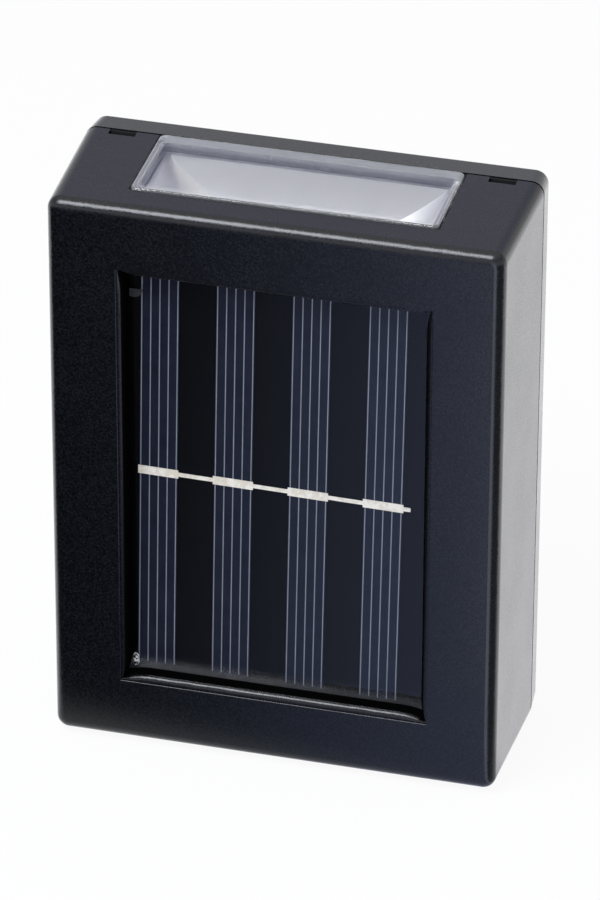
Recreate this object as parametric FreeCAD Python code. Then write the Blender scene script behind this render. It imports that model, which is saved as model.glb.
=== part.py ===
import FreeCAD, Part
import math
import os

# A solar fence light that shines up and down.
# Millimetres. X to the right, +Z up. The wall plane is y = 0 and the front faces -Y.
# The origin is the centre of the rear face, which lies against the fence.

Vec = FreeCAD.Vector
past = 1.0                 # how far a cutting shape reaches past the surface that it cuts
tiny = 0.01                # slack when edges are picked by their place

# ---- body: housing and rear cover ----
body_width = 90.2          # widest outline, at the parting plane
body_height = 119.8
housing_depth = 28.9       # front face to parting plane
cover_depth = 6.5          # parting plane to wall plane
housing_draft = 0.775      # each side draws in this much towards the front face
cover_draft = 0.45         # and this much towards the wall plane
corner_radius = 2.6
front_edge_radius = 2.1
back_edge_radius = 1.0
wall = 2.0
front_wall = 2.2
cover_floor = 2.0
inner_corner_radius = 1.0
rim_gap = 0.15             # between the cover's inner rim and the housing wall
rim_wall = 1.4
rim_reach = 2.1            # how far the inner rim enters the housing

# ---- seal in the parting groove ----
seal_thickness = 0.45
seal_inset = 0.35
seal_width = 1.0

# ---- window in the front face ----
window_step = 0.35         # shallow square step round the window
window_edge_radius = 0.2   # the step's front edge
window_ledge = 0.2
lip_radius = 1.1
lip_steps = 6              # sections through the lip's quarter round
flare_length = 5.0         # the lip narrows over this much of each side, towards the corners
corner_share = 0.35        # of the ledge and lip, left at the corners
panel_recess = 4.3         # front face to panel surface
skirt_wall = 2.2
skirt_corner_radius = 1.5

# ---- solar panel ----
panel_width = 62.2
panel_height = 92.9
panel_lap_side = 1.7       # how far the panel reaches behind the window's edge
panel_lap_end = 2.0
panel_askew = 0.95         # degrees, clockwise seen from the front
panel_drop = 0.5
tape_thickness = 0.4
tape_width = 1.5
tape_margin = 0.4
resin_thickness = 0.7
cell_thickness = 0.25
board_thickness = 1.4
cell_count = 4
cell_width = 7.6
cell_height = 87.9
cell_pitch = 14.87
cell_array_shift = -1.82
fingers_per_cell = 5
finger_pitch = 1.77
finger_width = 0.2
finger_thickness = 0.05
ribbon_width = 0.85
ribbon_length = 53.6
ribbon_thickness = 0.12
ribbon_shift = 0.9
pad_width = 1.8
pad_length = 8.0
locator_wall = 1.2
locator_length = 6.0
locator_gap = 0.2
locator_reach = 4.0

# ---- lens, notch and reflector, alike at the top and the bottom ----
lens_width = 59.8
lens_front_setback = 7.4   # front face to the lens
lens_gap = 0.3             # lens to the sides of its notch
lens_rear_gap = 0.1
lens_proud = 0.4
lens_plate = 1.9
lens_skirt = 4.8           # whole height of the lens edge
lens_skirt_wall = 1.5
lens_corner_radius = 1.2
lens_edge_radius = 0.45
lens_flange = 1.8
lens_flange_thickness = 1.2
seat_gap = 0.1
reflector_drop = 3.5       # body top to reflector rim
reflector_wall = 0.9
reflector_rim_gap = 0.2
reflector_vertex_depth = 12.0
reflector_floor_depth = 11.0
reflector_flange_thickness = 1.2
parabola_steps = 10        # points along each half of the reflector's curve
shelf_thickness = 1.6
shelf_inset = 1.4          # how far the shelf reaches under the flange
shelf_rear_gap = 2.7       # parting plane to the shelf's rear end

# ---- LED boards ----
led_board_length = 34.0
led_board_width = 11.0
led_board_thickness = 1.2
led_spacing = 8.0
led_length = 3.5
led_width = 2.8
led_height = 0.8
led_well_floor = 0.84      # radius of the phosphor well, at its floor and at its rim
led_well_rim = 1.12
led_screw_spacing = 28.0
led_boss_radius = 2.3
led_boss_height = 5.0
led_screw_bite = 2.2

# ---- latches ----
latch_bias = 0.1           # latch centre inward of the channel beside the lens
slot_width = 5.3
slot_depth = 1.9
tongue_width = 4.5
tongue_wall = 1.4
tongue_reach = 7.0         # beyond the parting plane
hook_length = 2.0
hook_height = 0.6
catch_gap = 0.2
tongue_slit = 0.6

# ---- screws: shares of the head ----
head_edge_share = 0.35     # rounding, of the head's height
drive_depth_share = 0.5    # cross slots, of the head's height
drive_reach_share = 0.55   # cross slots, of the head's radius

# ---- cover screws ----
cover_screw_drop = 8.4      # body top to the cover screws
screw_radius = 1.45
screw_head_radius = 2.5
screw_head_height = 2.0
screw_length = 14.0
screw_clearance = 0.1
screw_drive = 0.4          # half the width of the cross slots
pilot_spare = 0.4          # pilot hole beyond the screw's tip
pilot_sink = 0.5           # small pilots go this far into the cover floor
counterbore_radius = 3.0
counterbore_depth = 3.2
housing_boss_radius = 3.2
cover_post_radius = 4.0
post_gap = 0.15
boss_start = 2.5           # parting plane to the housing boss
web_thickness = 1.4

# ---- keyhole hangers in the rear cover ----
keyhole_offset = 27.0
keyhole_z = 30.0
keyhole_head_radius = 4.25
keyhole_slot_radius = 2.3
keyhole_slot_length = 7.5
pocket_wall = 1.2
pocket_margin = 0.55
pocket_depth = 4.2

# ---- battery and its tray ----
battery_radius = 7.1
battery_length = 49.5
battery_edge_radius = 0.6
battery_nub_radius = 2.7
battery_nub_root = 0.5     # nub inside the can
battery_nub_length = 1.0
battery_z = 12.0
battery_gap = 0.25
tray_wall = 1.4
tray_cavity_length = 55.4
tray_reach = 13.0          # cover floor to the tray's open side
ear_length = 6.5
ear_height = 6.0
ear_thickness = 1.6
ear_stand = 3.0
contact_thickness = 0.5
contact_width = 8.0
contact_proud = 1.5
contact_gap = 0.05
leaf_crown = 1.2
leaf_wall = 1.6            # slanted sides of the leaf, in contact thicknesses

# ---- main board and its parts ----
board_width = 60.0
board_height = 30.0
board_centre_z = -21.0
main_board_thickness = 1.6
board_stand = 6.0          # cover floor to the board
board_hole_x = 26.0
board_hole_z = 11.5
small_boss_radius = 2.7
small_screw_radius = 0.95
small_screw_head_radius = 1.8
small_screw_head_height = 1.4
small_screw_length = 4.5
small_drive = 0.3
chip_size = (5.0, 1.5, 4.0)
chip_at = (-12.0, -16.0)
chip_leg_count = 4
chip_leg_pitch = 1.2
chip_leg_width = 0.4
chip_leg_reach = 1.0
inductor_radius = 3.0
inductor_core_radius = 2.5
inductor_height = 5.0
inductor_flange = 1.0
inductor_at = (10.0, -22.0)
capacitor_radius = 2.5
capacitor_height = 5.5
capacitor_edge_radius = 0.5
capacitor_at = (-1.0, -29.0)

# ---- slide switch ----
switch_z = -21.0
switch_travel = 2.0
switch_body_length = 9.0
switch_body_height = 4.4
switch_slot_depth = 1.4
recess_width = 17.0
recess_height = 9.5
recess_depth = 2.6
recess_floor = 1.6
recess_corner = 1.5
knob_stem_length = 2.0
knob_stem_height = 1.5
knob_cap_length = 4.4
knob_cap_height = 3.4
knob_sunk = 0.7            # knob top below the wall plane
knob_gap = 0.3
knob_corner = 0.4
knob_grooves = 3
knob_groove = 0.5
knob_groove_depth = 0.35

# ---- leads inside ----
lead_radius = 0.6
lead_spacing = 3.0
lead_bend_share = 0.45     # of the shorter run, taken up by a bend
lead_plane = 23.0          # wall plane to the upright runs
lead_inset = 4.0           # board edge to the lead joints
lead_drop = 8.0            # straight below the upper LED board
led_lead_x = 9.0
panel_lead_x = 18.0
panel_lead_fall = 2.0      # joint on the panel, below the board's centre
panel_lead_rise = 6.0      # joint on the board, above its centre
battery_lead_inset = 8.5

# ---- adhesive left on the panel ----
dab_radius = 0.75
dab_height = 0.6
dab_length = 3.2
dab_offset = 0.6           # window's left wall to the middle of the bead
dab_rise = 1.3             # window's lower wall to the middle of the bead
smear_radius = 1.8
smear_thickness = 0.1
smear_inset = 0.1
smear_width = 3.0
smear_length = 3.0
smear_drop = 4.6           # window's upper wall to the smear

# ---- derived planes ----
y_part = -cover_depth
y_front = y_part - housing_depth
y_floor = -cover_floor
y_rim = y_part + seal_thickness
y_panel = y_front + panel_recess
y_tape = y_panel - tape_thickness
y_cell = y_panel + resin_thickness
y_board = y_cell + cell_thickness
y_panel_back = y_board + board_thickness
throat_width = panel_width - 2 * panel_lap_side
throat_height = panel_height - 2 * panel_lap_end
window_width = throat_width + 2 * (window_ledge + lip_radius)
window_height = throat_height + 2 * (window_ledge + lip_radius)
y_lens_front = y_front + lens_front_setback
y_lens_rear = y_part - lens_rear_gap
y_main_board = y_floor - board_stand
y_main_front = y_main_board - main_board_thickness
side_channel = (lens_width / 2 + lens_flange + body_width / 2 - wall) / 2
latch_offset = side_channel - latch_bias
cover_screw_x = latch_offset
cover_screw_z = body_height / 2 - cover_screw_drop
z_rim = body_height / 2 - reflector_drop
z_led_board = z_rim - reflector_floor_depth - reflector_wall
y_battery = y_floor - tray_wall - battery_gap - battery_radius
y_tray = y_floor - tray_reach


def box(x0, x1, y0, y1, z0, z1):
    return Part.makeBox(x1 - x0, y1 - y0, z1 - z0, Vec(x0, y0, z0))


def rod(radius, start, end):
    """A round bar from one point to another."""
    direction = Vec(*end) - Vec(*start)
    return Part.makeCylinder(radius, direction.Length, Vec(*start), direction)


def polygon_face(points):
    return Part.Face(Part.makePolygon([Vec(*p) for p in points] + [Vec(*points[0])]))


def along_x(profile, half_width):
    """A solid of the same y-z profile from -half_width to half_width."""
    face = polygon_face([(-half_width, y, z) for y, z in profile])
    return face.extrude(Vec(2 * half_width, 0, 0))


def joined(shapes):
    first = shapes[0]
    return first.fuse(shapes[1:]).removeSplitter() if len(shapes) > 1 else first


def rounded_outline(width, height, y, radius):
    """A rounded rectangle in the plane of the given y, centred on the Y axis."""
    a = width / 2
    b = height / 2
    k = radius * (1 - math.sqrt(0.5))
    corners = []
    for sx, sz in ((1, 1), (-1, 1), (-1, -1), (1, -1)):
        side = Vec(sx * a, y, sz * (b - radius))
        middle = Vec(sx * (a - k), y, sz * (b - k))
        end = Vec(sx * (a - radius), y, sz * b)
        corners.append((side, middle, end) if sx * sz > 0 else (end, middle, side))
    edges = []
    for index, (start, middle, end) in enumerate(corners):
        edges.append(Part.Arc(start, middle, end).toShape())
        following = corners[(index + 1) % 4][0]
        edges.append(Part.LineSegment(end, following).toShape())
    return Part.Wire(edges)


def rounded_slab(width, height, radius, y0, y1):
    face = Part.Face(rounded_outline(width, height, y0, radius))
    return face.extrude(Vec(0, y1 - y0, 0))


def window_outline(y, inset):
    """The window's outline at a plane, drawn in by the inset, but less and less towards its corners."""
    a = window_width / 2 - inset
    b = window_height / 2 - inset
    swell = inset * (1 - corner_share)
    radius = (flare_length ** 2 + swell ** 2) / (2 * swell)
    half_turn = math.asin(flare_length / radius) / 2
    out = radius * (1 - math.cos(half_turn))
    back = flare_length - radius * math.sin(half_turn)
    corners = []
    for sx, sz in ((1, 1), (-1, 1), (-1, -1), (1, -1)):
        tip_x = a + swell
        tip_z = b + swell
        path = [(a, tip_z - flare_length), (a + out, tip_z - back), (tip_x, tip_z)]
        path += [(tip_x - back, b + out), (tip_x - flare_length, b)]
        path = [Vec(sx * x, y, sz * z) for x, z in path]
        corners.append(path if sx * sz > 0 else path[::-1])
    edges = []
    for index, path in enumerate(corners):
        edges.append(Part.Arc(*path[:3]).toShape())
        edges.append(Part.Arc(*path[2:]).toShape())
        edges.append(Part.LineSegment(path[4], corners[(index + 1) % 4][0]).toShape())
    return Part.Wire(edges)


def drafted_block(size0, y0, size1, y1, radius):
    """A block whose outline changes evenly from one plane to the other."""
    wires = [rounded_outline(*size0, y0, radius), rounded_outline(*size1, y1, radius)]
    return Part.makeLoft(wires, True, True)


def edges_in_plane(shape, y):
    return [e for e in shape.Edges if abs(e.BoundBox.YMin - y) < 1e-4 and abs(e.BoundBox.YMax - y) < 1e-4]


def inset_at(y):
    """How far the housing's sides have drawn in at the given y."""
    return housing_draft * (y_part - y) / housing_depth


def top_at(y):
    """Height of the housing's top face at the given y."""
    return body_height / 2 - inset_at(y)


def sloped_layer(y0, y1, above, below, half_width):
    """A layer that follows the drafted top face, between two distances under it."""
    profile = [(y0, top_at(y0) - above), (y1, top_at(y1) - above)]
    profile += [(y1, top_at(y1) - below), (y0, top_at(y0) - below)]
    return along_x(profile, half_width)


def flipped(shape):
    """The same piece at the bottom of the light."""
    return shape.mirror(Vec(0, 0, 0), Vec(0, 0, 1))


def both_ends(shape):
    return [shape, flipped(shape)]


def four_places(x, z):
    return [(sx * x, sz * z) for sx in (-1, 1) for sz in (-1, 1)]


# ---- front housing ----

def housing_size(y, less=0.0):
    shrink = 2 * (inset_at(y) + less)
    return (body_width - shrink, body_height - shrink)


def housing_shell():
    outer = drafted_block(housing_size(y_front), y_front, housing_size(y_part), y_part, corner_radius)
    outer = outer.makeFillet(front_edge_radius, edges_in_plane(outer, y_front))
    y_inside = y_front + front_wall
    y_open = y_part + wall
    sizes = (housing_size(y_inside, wall), housing_size(y_open, wall))
    return outer.cut(drafted_block(sizes[0], y_inside, sizes[1], y_open, inner_corner_radius))


def window_skirt():
    """The wall round the window that carries the panel."""
    width = throat_width + 2 * skirt_wall
    height = throat_height + 2 * skirt_wall
    return rounded_slab(width, height, skirt_corner_radius, y_front + front_wall / 2, y_tape)


def panel_locators():
    """Short ribs that hold the panel's corners."""
    turn = math.radians(panel_askew)
    reach_x = (panel_width * math.cos(turn) + panel_height * math.sin(turn)) / 2 + locator_gap
    reach_z = (panel_height * math.cos(turn) + panel_width * math.sin(turn)) / 2 + locator_gap
    y0 = y_front + front_wall / 2
    y1 = y_tape + locator_reach
    x_rib = box(reach_x, reach_x + locator_wall, y0, y1, reach_z - 2 * locator_length, reach_z - locator_length)
    z_rib = box(reach_x - 2 * locator_length, reach_x - locator_length, y0, y1, reach_z, reach_z + locator_wall)
    ribs = []
    for rib in (x_rib, z_rib):
        for piece in both_ends(rib):
            ribs.append(piece)
            ribs.append(piece.mirror(Vec(0, 0, 0), Vec(1, 0, 0)))
    for rib in ribs:
        rib.translate(Vec(0, 0, -panel_drop))
    return ribs


def lens_shelf():
    """Ledges beside the reflector that carry its flange, one each side."""
    under = lens_skirt - lens_proud + seat_gap + reflector_flange_thickness + seat_gap
    y0 = y_front + front_wall / 2
    y1 = y_part - shelf_rear_gap
    half = body_width / 2 - wall / 2 - housing_draft
    layer = sloped_layer(y0, y1, under, under + shelf_thickness, half)
    inner = lens_width / 2 + lens_flange - shelf_inset
    return layer.cut(box(-inner, inner, y_front, y_part, 0, body_height))


def housing_bosses():
    """Four screw bosses, each tied to the side wall by a web."""
    pieces = []
    y0 = y_front + front_wall / 2
    y1 = y_part - boss_start
    for x, z in four_places(cover_screw_x, cover_screw_z):
        pieces.append(rod(housing_boss_radius, (x, y0, z), (x, y1, z)))
        side = math.copysign(body_width / 2 - wall / 2 - housing_draft, x)
        web = web_thickness / 2
        pieces.append(box(min(x, side), max(x, side), y0, y1, z - web, z + web))
    return pieces


def housing_openings():
    """Everything that is cut from the housing at both ends."""
    notch_half = lens_width / 2 + lens_gap
    inside = top_at(y_front) - wall - front_edge_radius
    cuts = [box(-notch_half, notch_half, y_lens_front - lens_gap, 0, inside, body_height)]
    hook_y = y_part - tongue_reach + hook_length
    catch_top = top_at(hook_y) - wall + hook_height + catch_gap
    for sx in (-1, 1):
        x0 = sx * latch_offset - slot_width / 2
        cuts.append(box(x0, x0 + slot_width, y_part - slot_depth, 0, inside, body_height))
        y0 = y_part - tongue_reach - catch_gap
        cuts.append(box(x0, x0 + slot_width, y0, hook_y + catch_gap, inside, catch_top))
    return cuts


def window_opening():
    """The step, the lip's quarter round and the throat behind it, as one cutting shape."""
    step = box(-window_width / 2, window_width / 2, y_front - past, y_front + window_step,
               -window_height / 2, window_height / 2)
    ledge_plane = y_front + window_step
    sections = []
    for index in range(lip_steps + 1):
        turn = math.pi / 2 * index / lip_steps
        inset = window_ledge + lip_radius * math.sin(turn)
        sections.append(window_outline(ledge_plane + lip_radius * (1 - math.cos(turn)), inset))
    lip = Part.makeLoft(sections, True)
    throat = Part.Face(sections[-1]).extrude(Vec(0, y_panel - ledge_plane - lip_radius, 0))
    return [step, lip, throat]


def front_housing():
    body = joined([housing_shell(), window_skirt()] + panel_locators() + housing_bosses())
    openings = window_opening()
    for cut in housing_openings():
        openings += both_ends(cut)
    body = body.cut(openings)
    edge = [e for e in edges_in_plane(body, y_front)
            if max(abs(v.Point.x) for v in e.Vertexes) < window_width / 2 + tiny]
    body = body.makeFillet(window_edge_radius, edge)
    body = joined([body] + both_ends(lens_shelf()))
    pilots = []
    pilot_end = -counterbore_depth - screw_length - pilot_spare
    for x, z in four_places(cover_screw_x, cover_screw_z):
        start = (x, y_part, z)
        pilots.append(rod(screw_radius + screw_clearance / 2, start, (x, pilot_end, z)))
    return body.cut(pilots)


# ---- rear cover ----

def cover_shell():
    back = (body_width - 2 * cover_draft, body_height - 2 * cover_draft)
    outer = drafted_block((body_width, body_height), y_rim, back, 0, corner_radius)
    outer = outer.makeFillet(back_edge_radius, edges_in_plane(outer, 0))
    spigot_width = body_width - 2 * (wall + rim_gap)
    spigot_height = body_height - 2 * (wall + rim_gap)
    # the rim draws in with the housing wall that it enters
    tip = y_part - rim_reach
    tip_less = 2 * inset_at(tip)
    tip_size = (spigot_width - tip_less, spigot_height - tip_less)
    rim = drafted_block(tip_size, tip, (spigot_width, spigot_height), y_floor - cover_floor / 2,
                        inner_corner_radius)
    hollow_width = spigot_width - 2 * rim_wall - tip_less
    hollow_height = spigot_height - 2 * rim_wall - tip_less
    hollow = rounded_slab(hollow_width, hollow_height, inner_corner_radius, tip - past, y_floor)
    gap_half = lens_width / 2 + lens_flange + lens_gap
    gap = box(-gap_half, gap_half, tip - past, y_rim, hollow_height / 2 - rim_wall, body_height)
    return outer.fuse(rim).cut([hollow] + both_ends(gap))


def latch_tongue():
    """A springy tongue whose hook drops into a catch in the housing wall."""
    y1 = y_part - tongue_reach
    y0 = y_part - rim_reach / 2
    top = top_at(y1) - wall - rim_gap
    half = tongue_width / 2
    tongue = box(-half, half, y1, y0, top - tongue_wall, top)
    hook_rear = y1 + hook_length
    ramp = [(y1, top), (hook_rear, top + hook_height), (hook_rear, top)]
    return tongue.fuse(along_x(ramp, half))


def latch_tongues():
    pieces = []
    for sx in (-1, 1):
        tongue = latch_tongue()
        tongue.translate(Vec(sx * latch_offset, 0, 0))
        pieces += both_ends(tongue)
    return pieces


def tongue_slits():
    """Slits beside each tongue that let it spring."""
    top = body_height / 2 - wall - rim_gap
    pieces = []
    for sx in (-1, 1):
        for side in (-1, 1):
            centre = sx * latch_offset + side * (tongue_width + tongue_slit) / 2
            slit = box(centre - tongue_slit / 2, centre + tongue_slit / 2, y_part - rim_reach - past,
                       y_part, top - rim_wall - past, top + past)
            pieces += both_ends(slit)
    return pieces


def keyhole_cut(side):
    x = side * keyhole_offset
    head = rod(keyhole_head_radius, (x, y_floor - past, keyhole_z), (x, past, keyhole_z))
    top = keyhole_z + keyhole_slot_length
    slot_end = rod(keyhole_slot_radius, (x, y_floor - past, top), (x, past, top))
    slot = box(x - keyhole_slot_radius, x + keyhole_slot_radius, y_floor - past, past, keyhole_z, top)
    return head.fuse([slot_end, slot])


def keyhole_pocket(side, grow):
    """The closed box behind a keyhole, where the hanging screw's head sits."""
    x = side * keyhole_offset
    reach = keyhole_head_radius + pocket_margin + grow
    z0 = keyhole_z - reach
    z1 = keyhole_z + keyhole_slot_length + reach
    y0 = y_floor - pocket_depth - grow
    return box(x - reach, x + reach, y0, y_floor + min(grow, cover_floor / 2), z0, z1)


def switch_recess(grow):
    half_width = recess_width / 2 + grow
    half_height = recess_height / 2 + grow
    depth = recess_depth + (recess_floor if grow else 0)
    y1 = -cover_floor / 2 if grow else past
    block = box(-half_width, half_width, -depth, y1, switch_z - half_height, switch_z + half_height)
    upright = [e for e in block.Edges if e.BoundBox.YLength > depth / 2]
    return block.makeFillet(recess_corner, upright)


def cover_posts():
    pieces = []
    for x, z in four_places(cover_screw_x, cover_screw_z):
        tip = y_part - boss_start + post_gap
        pieces.append(rod(cover_post_radius, (x, tip, z), (x, y_floor / 2, z)))
    for x, z in main_board_holes():
        pieces.append(rod(small_boss_radius, (x, y_main_board, z), (x, y_floor / 2, z)))
    for x, z in tray_holes():
        pieces.append(rod(small_boss_radius, (x, y_floor - ear_stand, z), (x, y_floor / 2, z)))
    return pieces


def cover_holes():
    pieces = []
    for x, z in four_places(cover_screw_x, cover_screw_z):
        pieces.append(rod(screw_radius + screw_clearance, (x, y_part - rim_reach * 2, z), (x, past, z)))
        pieces.append(rod(counterbore_radius, (x, -counterbore_depth, z), (x, past, z)))
    pilot = small_screw_radius + screw_clearance / 2
    for x, z in main_board_holes():
        pieces.append(rod(pilot, (x, y_main_board - past, z), (x, y_floor + pilot_sink, z)))
    for x, z in tray_holes():
        pieces.append(rod(pilot, (x, y_floor - ear_stand - past, z), (x, y_floor + pilot_sink, z)))
    slot_half, slot_high = stem_slot()
    slot_y = -recess_depth - recess_floor - past
    pieces.append(box(-slot_half, slot_half, slot_y, 0, switch_z - slot_high, switch_z + slot_high))
    return pieces


def rear_cover():
    solids = [cover_shell(), switch_recess(pocket_wall)] + latch_tongues() + cover_posts()
    solids += [keyhole_pocket(side, pocket_wall) for side in (-1, 1)]
    body = joined(solids)
    cuts = [keyhole_pocket(side, 0) for side in (-1, 1)]
    cuts += [keyhole_cut(side) for side in (-1, 1)]
    cuts += [switch_recess(0)] + cover_holes() + tongue_slits()
    return body.cut(cuts).removeSplitter()


def cover_seal():
    width = body_width - 2 * seal_inset
    height = body_height - 2 * seal_inset
    less = 2 * seal_width
    ring = rounded_slab(width, height, corner_radius - seal_inset, y_part, y_rim)
    radius = inner_corner_radius
    return ring.cut(rounded_slab(width - less, height - less, radius, y_part - past, y_rim + past))


def pan_screw(radius, head_radius, head_height, length, drive):
    """A screw along -Y whose head sits on the plane y = 0."""
    shank = rod(radius, (0, 0, 0), (0, -length, 0))
    head = rod(head_radius, (0, 0, 0), (0, head_height, 0))
    rim = edges_in_plane(head, head_height)
    head = head.makeFillet(head_height * head_edge_share, rim)
    deep = head_height * (1 - drive_depth_share)
    arm = head_radius * drive_reach_share
    cross = [box(-arm, arm, deep, head_height + past, -drive, drive)]
    cross.append(box(-drive, drive, deep, head_height + past, -arm, arm))
    return shank.fuse(head).cut(cross)


def cover_screws():
    screws = []
    for x, z in four_places(cover_screw_x, cover_screw_z):
        screw = pan_screw(screw_radius, screw_head_radius, screw_head_height, screw_length, screw_drive)
        screw.translate(Vec(x, -counterbore_depth, z))
        screws.append(screw)
    return Part.makeCompound(screws)


# ---- lens and reflector ----

def top_lens():
    """A clear cap: plate, skirt and an inner flange that stops it from lifting out."""
    half = lens_width / 2
    above = -lens_proud
    cap = sloped_layer(y_lens_front, y_lens_rear, above, lens_skirt - lens_proud, half)
    some = lens_skirt / 2
    upright = [e for e in cap.Edges if e.BoundBox.ZLength > some and e.BoundBox.YLength < some]
    cap = cap.makeFillet(lens_corner_radius, upright)
    limit = top_at(y_lens_front) + lens_proud - tiny
    upper = [e for e in cap.Edges if e.BoundBox.ZMin > limit]
    cap = cap.makeFillet(lens_edge_radius, upper)
    inner_y0 = y_lens_front + lens_skirt_wall
    inner_y1 = y_lens_rear - lens_skirt_wall
    under = lens_plate - lens_proud
    inner = sloped_layer(inner_y0, inner_y1, under, lens_skirt + past, half - lens_skirt_wall)
    flange_top = wall + rim_gap
    flange = sloped_layer(y_lens_front - lens_flange, y_lens_rear, flange_top,
                          flange_top + lens_flange_thickness, half + lens_flange)
    return cap.fuse(flange).cut(inner).removeSplitter()


def parabola_profile(half_width, depth, grow):
    """Half-widths of the reflector trough at even steps of its depth."""
    points = []
    for index in range(parabola_steps + 1):
        share = index / parabola_steps
        points.append((half_width * share + grow, -depth * (1 - share * share) - grow * (1 - share)))
    return points


def trough(half_width, centre, depth, grow, length, across_x):
    """A parabolic trough, hollow side up, with its rim at the reflector's rim height."""
    side = parabola_profile(half_width, depth, grow)
    right = [Vec(centre + a, 0, z_rim + b) for a, b in side]
    left = [Vec(centre - a, 0, z_rim + b) for a, b in side]
    if not across_x:
        right = [Vec(0, p.x, p.z) for p in right]
        left = [Vec(0, p.x, p.z) for p in left]
    curve = Part.BSplineCurve()
    curve.interpolate(left[:0:-1] + right[1:])
    line = Part.LineSegment(right[-1], left[-1]).toShape()
    face = Part.Face(Part.Wire([curve.toShape(), line]))
    way = Vec(0, 1, 0) if across_x else Vec(1, 0, 0)
    face.translate(way * -length)
    return face.extrude(way * (2 * length))


def reflector_tub(grow):
    """Two crossed parabolic troughs, cut off flat at the LED window."""
    mouth_x = lens_width / 2 - lens_skirt_wall - reflector_rim_gap - reflector_wall
    front = y_lens_front + lens_skirt_wall + reflector_rim_gap + reflector_wall
    rear = y_lens_rear - lens_skirt_wall - reflector_rim_gap - reflector_wall
    centre = (front + rear) / 2
    mouth_y = (rear - front) / 2
    wide = trough(mouth_x, 0, reflector_vertex_depth, grow, body_width, True)
    deep = trough(mouth_y, centre, reflector_vertex_depth, grow, body_width, False)
    tub = wide.common(deep)
    floor = z_rim - reflector_floor_depth - grow
    return tub.common(box(-body_width, body_width, y_front, 0, floor, body_height))


def reflector_centre():
    return (y_lens_front + y_lens_rear) / 2


def led_window():
    share = math.sqrt(1 - reflector_floor_depth / reflector_vertex_depth)
    mouth_x = lens_width / 2 - lens_skirt_wall - reflector_rim_gap - reflector_wall
    mouth_y = (y_lens_rear - y_lens_front) / 2 - lens_skirt_wall - reflector_rim_gap - reflector_wall
    half_x = mouth_x * share
    half_y = mouth_y * share
    centre = reflector_centre()
    return box(-half_x, half_x, centre - half_y, centre + half_y, 0, z_rim)


def top_reflector():
    outer = reflector_tub(reflector_wall)
    under = lens_skirt - lens_proud + seat_gap
    flange = sloped_layer(y_lens_front, y_lens_rear - seat_gap, under,
                          under + reflector_flange_thickness, lens_width / 2 + lens_flange)
    pieces = [outer, flange]
    centre = reflector_centre()
    bottom = z_led_board
    for sx in (-1, 1):
        x = sx * led_screw_spacing / 2
        pieces.append(rod(led_boss_radius, (x, centre, bottom), (x, centre, bottom + led_boss_height)))
    body = joined(pieces)
    cuts = [reflector_tub(0), led_window()]
    for sx in (-1, 1):
        x = sx * led_screw_spacing / 2
        pilot = small_screw_radius + screw_clearance / 2
        cuts.append(rod(pilot, (x, centre, bottom - past), (x, centre, bottom + led_screw_bite + pilot_spare)))
    return body.cut(cuts)


def top_led_board():
    centre = reflector_centre()
    half_y = led_board_width / 2
    half_x = led_board_length / 2
    z1 = z_led_board
    board = box(-half_x, half_x, centre - half_y, centre + half_y, z1 - led_board_thickness, z1)
    holes = []
    for sx in (-1, 1):
        x = sx * led_screw_spacing / 2
        radius = small_screw_radius + screw_clearance
        holes.append(rod(radius, (x, centre, z1 - led_board_thickness - past), (x, centre, z1 + past)))
    return board.cut(holes)


def top_leds():
    """Two chips on the board, each with its round phosphor well."""
    centre = reflector_centre()
    z0 = z_led_board
    chips = []
    for sx in (-1, 1):
        x = sx * led_spacing / 2
        chip = box(x - led_length / 2, x + led_length / 2, centre - led_width / 2, centre + led_width / 2,
                   z0, z0 + led_height)
        well = Part.makeCone(led_well_floor, led_well_rim, led_height / 2,
                             Vec(x, centre, z0 + led_height / 2), Vec(0, 0, 1))
        chips.append(chip.cut(well))
    return Part.makeCompound(chips)


def small_screw():
    return pan_screw(small_screw_radius, small_screw_head_radius, small_screw_head_height,
                     small_screw_length, small_drive)


def led_board_screws():
    """Four small screws that enter the reflectors from the LED boards."""
    screws = []
    for sx in (-1, 1):
        screw = pan_screw(small_screw_radius, small_screw_head_radius, small_screw_head_height,
                          led_board_thickness + led_screw_bite, small_drive)
        screw.rotate(Vec(0, 0, 0), Vec(1, 0, 0), -90)
        screw.translate(Vec(sx * led_screw_spacing / 2, reflector_centre(), z_led_board - led_board_thickness))
        screws += both_ends(screw)
    return Part.makeCompound(screws)


# ---- solar panel ----

def seated(shape):
    """Turns a piece of the panel to the angle at which the panel is seated."""
    shape.rotate(Vec(0, 0, 0), Vec(0, 1, 0), panel_askew)
    shape.translate(Vec(0, 0, -panel_drop))
    return shape


def panel_layer(width, height, y0, y1):
    return box(-width / 2, width / 2, y0, y1, -height / 2, height / 2)


def cell_centres():
    first = cell_array_shift - cell_pitch * (cell_count - 1) / 2
    return [first + cell_pitch * index for index in range(cell_count)]


def cell_strips():
    half = cell_width / 2
    return [box(x - half, x + half, y_cell, y_board, -cell_height / 2, cell_height / 2)
            for x in cell_centres()]


def finger_lines():
    lines = []
    height = cell_height / 2 - finger_pitch / 4
    for centre in cell_centres():
        for index in range(fingers_per_cell):
            x = centre + (index - (fingers_per_cell - 1) / 2) * finger_pitch
            half = finger_width / 2
            lines.append(box(x - half, x + half, y_cell - finger_thickness, y_cell, -height, height))
    return lines


def ribbon_strip():
    y1 = y_cell - finger_thickness
    y0 = y1 - ribbon_thickness
    start = cell_array_shift + ribbon_shift - ribbon_length / 2
    strip = box(start, start + ribbon_length, y0, y1, -ribbon_width / 2, ribbon_width / 2)
    pads = [box(x - pad_length / 2, x + pad_length / 2, y0, y1, -pad_width / 2, pad_width / 2)
            for x in cell_centres()]
    return joined([strip] + pads)


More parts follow.
